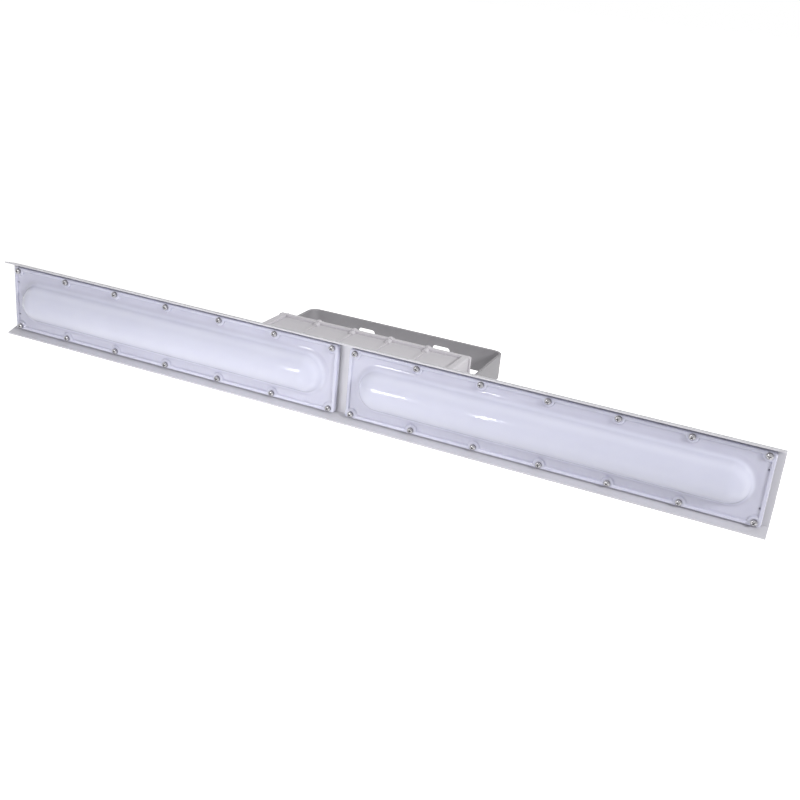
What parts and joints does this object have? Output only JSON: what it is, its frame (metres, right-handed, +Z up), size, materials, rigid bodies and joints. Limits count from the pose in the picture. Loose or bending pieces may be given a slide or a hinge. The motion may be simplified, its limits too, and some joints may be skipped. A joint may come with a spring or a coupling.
{
  "type": "explosion-proof linear LED light",
  "caption": "Long industrial LED light: finned aluminium rail with two screwed opal dome lenses, a ribbed driver box behind it and a tilting U bracket for wall or ceiling.",
  "frame": {"origin": "middle of the bracket's rear face, halfway between its two fixing slots", "axes": "+X along the rail to the viewer's right in front of the lenses, +Y out of the back of the bracket into the wall, +Z up as pictured; the lenses face -Y"},
  "size_m": [1.213, 0.2427, 0.1289],
  "materials": {
    "bracket_paint": "satin powder coat",
    "rail_coat": "satin light grey coat",
    "box_coat": "satin light grey coat on a casting",
    "opal_lens": "opal polycarbonate, satin gloss",
    "silicone": "matt",
    "seal_rubber": "matt",
    "stainless": "bright stainless",
    "white_board": "white solder mask",
    "phosphor": "matt",
    "driver_case": "plain",
    "terminal_body": "matt",
    "nylon": "matt",
    "plated_brass": "nickel plate"
  },
  "bodies": {
    "bracket": {"mounting_bracket": "bracket_paint"},
    "lamp": {"rail": "rail_coat", "lens_left": "opal_lens", "lens_right": "opal_lens", "lens_gasket_left": "silicone", "lens_gasket_right": "silicone", "lens_screws": "stainless", "lens_washers": "stainless", "led_board_left": "white_board", "led_board_right": "white_board", "led_chips_left": "phosphor", "led_chips_right": "phosphor", "board_screws": "stainless", "driver_box": "box_coat", "box_cover": "box_coat", "cover_gasket": "silicone", "cover_screws": "stainless", "led_driver": "driver_case", "driver_screws": "stainless", "terminal_block": "terminal_body", "terminal_screws": "stainless", "wire_bushings": "nylon", "box_screws": "stainless", "cable_gland_body": "plated_brass", "cable_gland_nut": "plated_brass", "cable_gland_seal": "seal_rubber", "earth_screw": "stainless", "earth_washer": "stainless", "pivot_bolts": "stainless", "pivot_friction_washers": "nylon", "pivot_flat_washers": "stainless", "pivot_spring_washers": "stainless"}
  },
  "joints": [
    {"name": "tilt", "type": "hinge", "parent": "bracket", "child": "lamp", "pos_m": [0, -0.158, 0], "axis": [1, 0, 0], "range_deg": [-90, 90]}
  ]
}
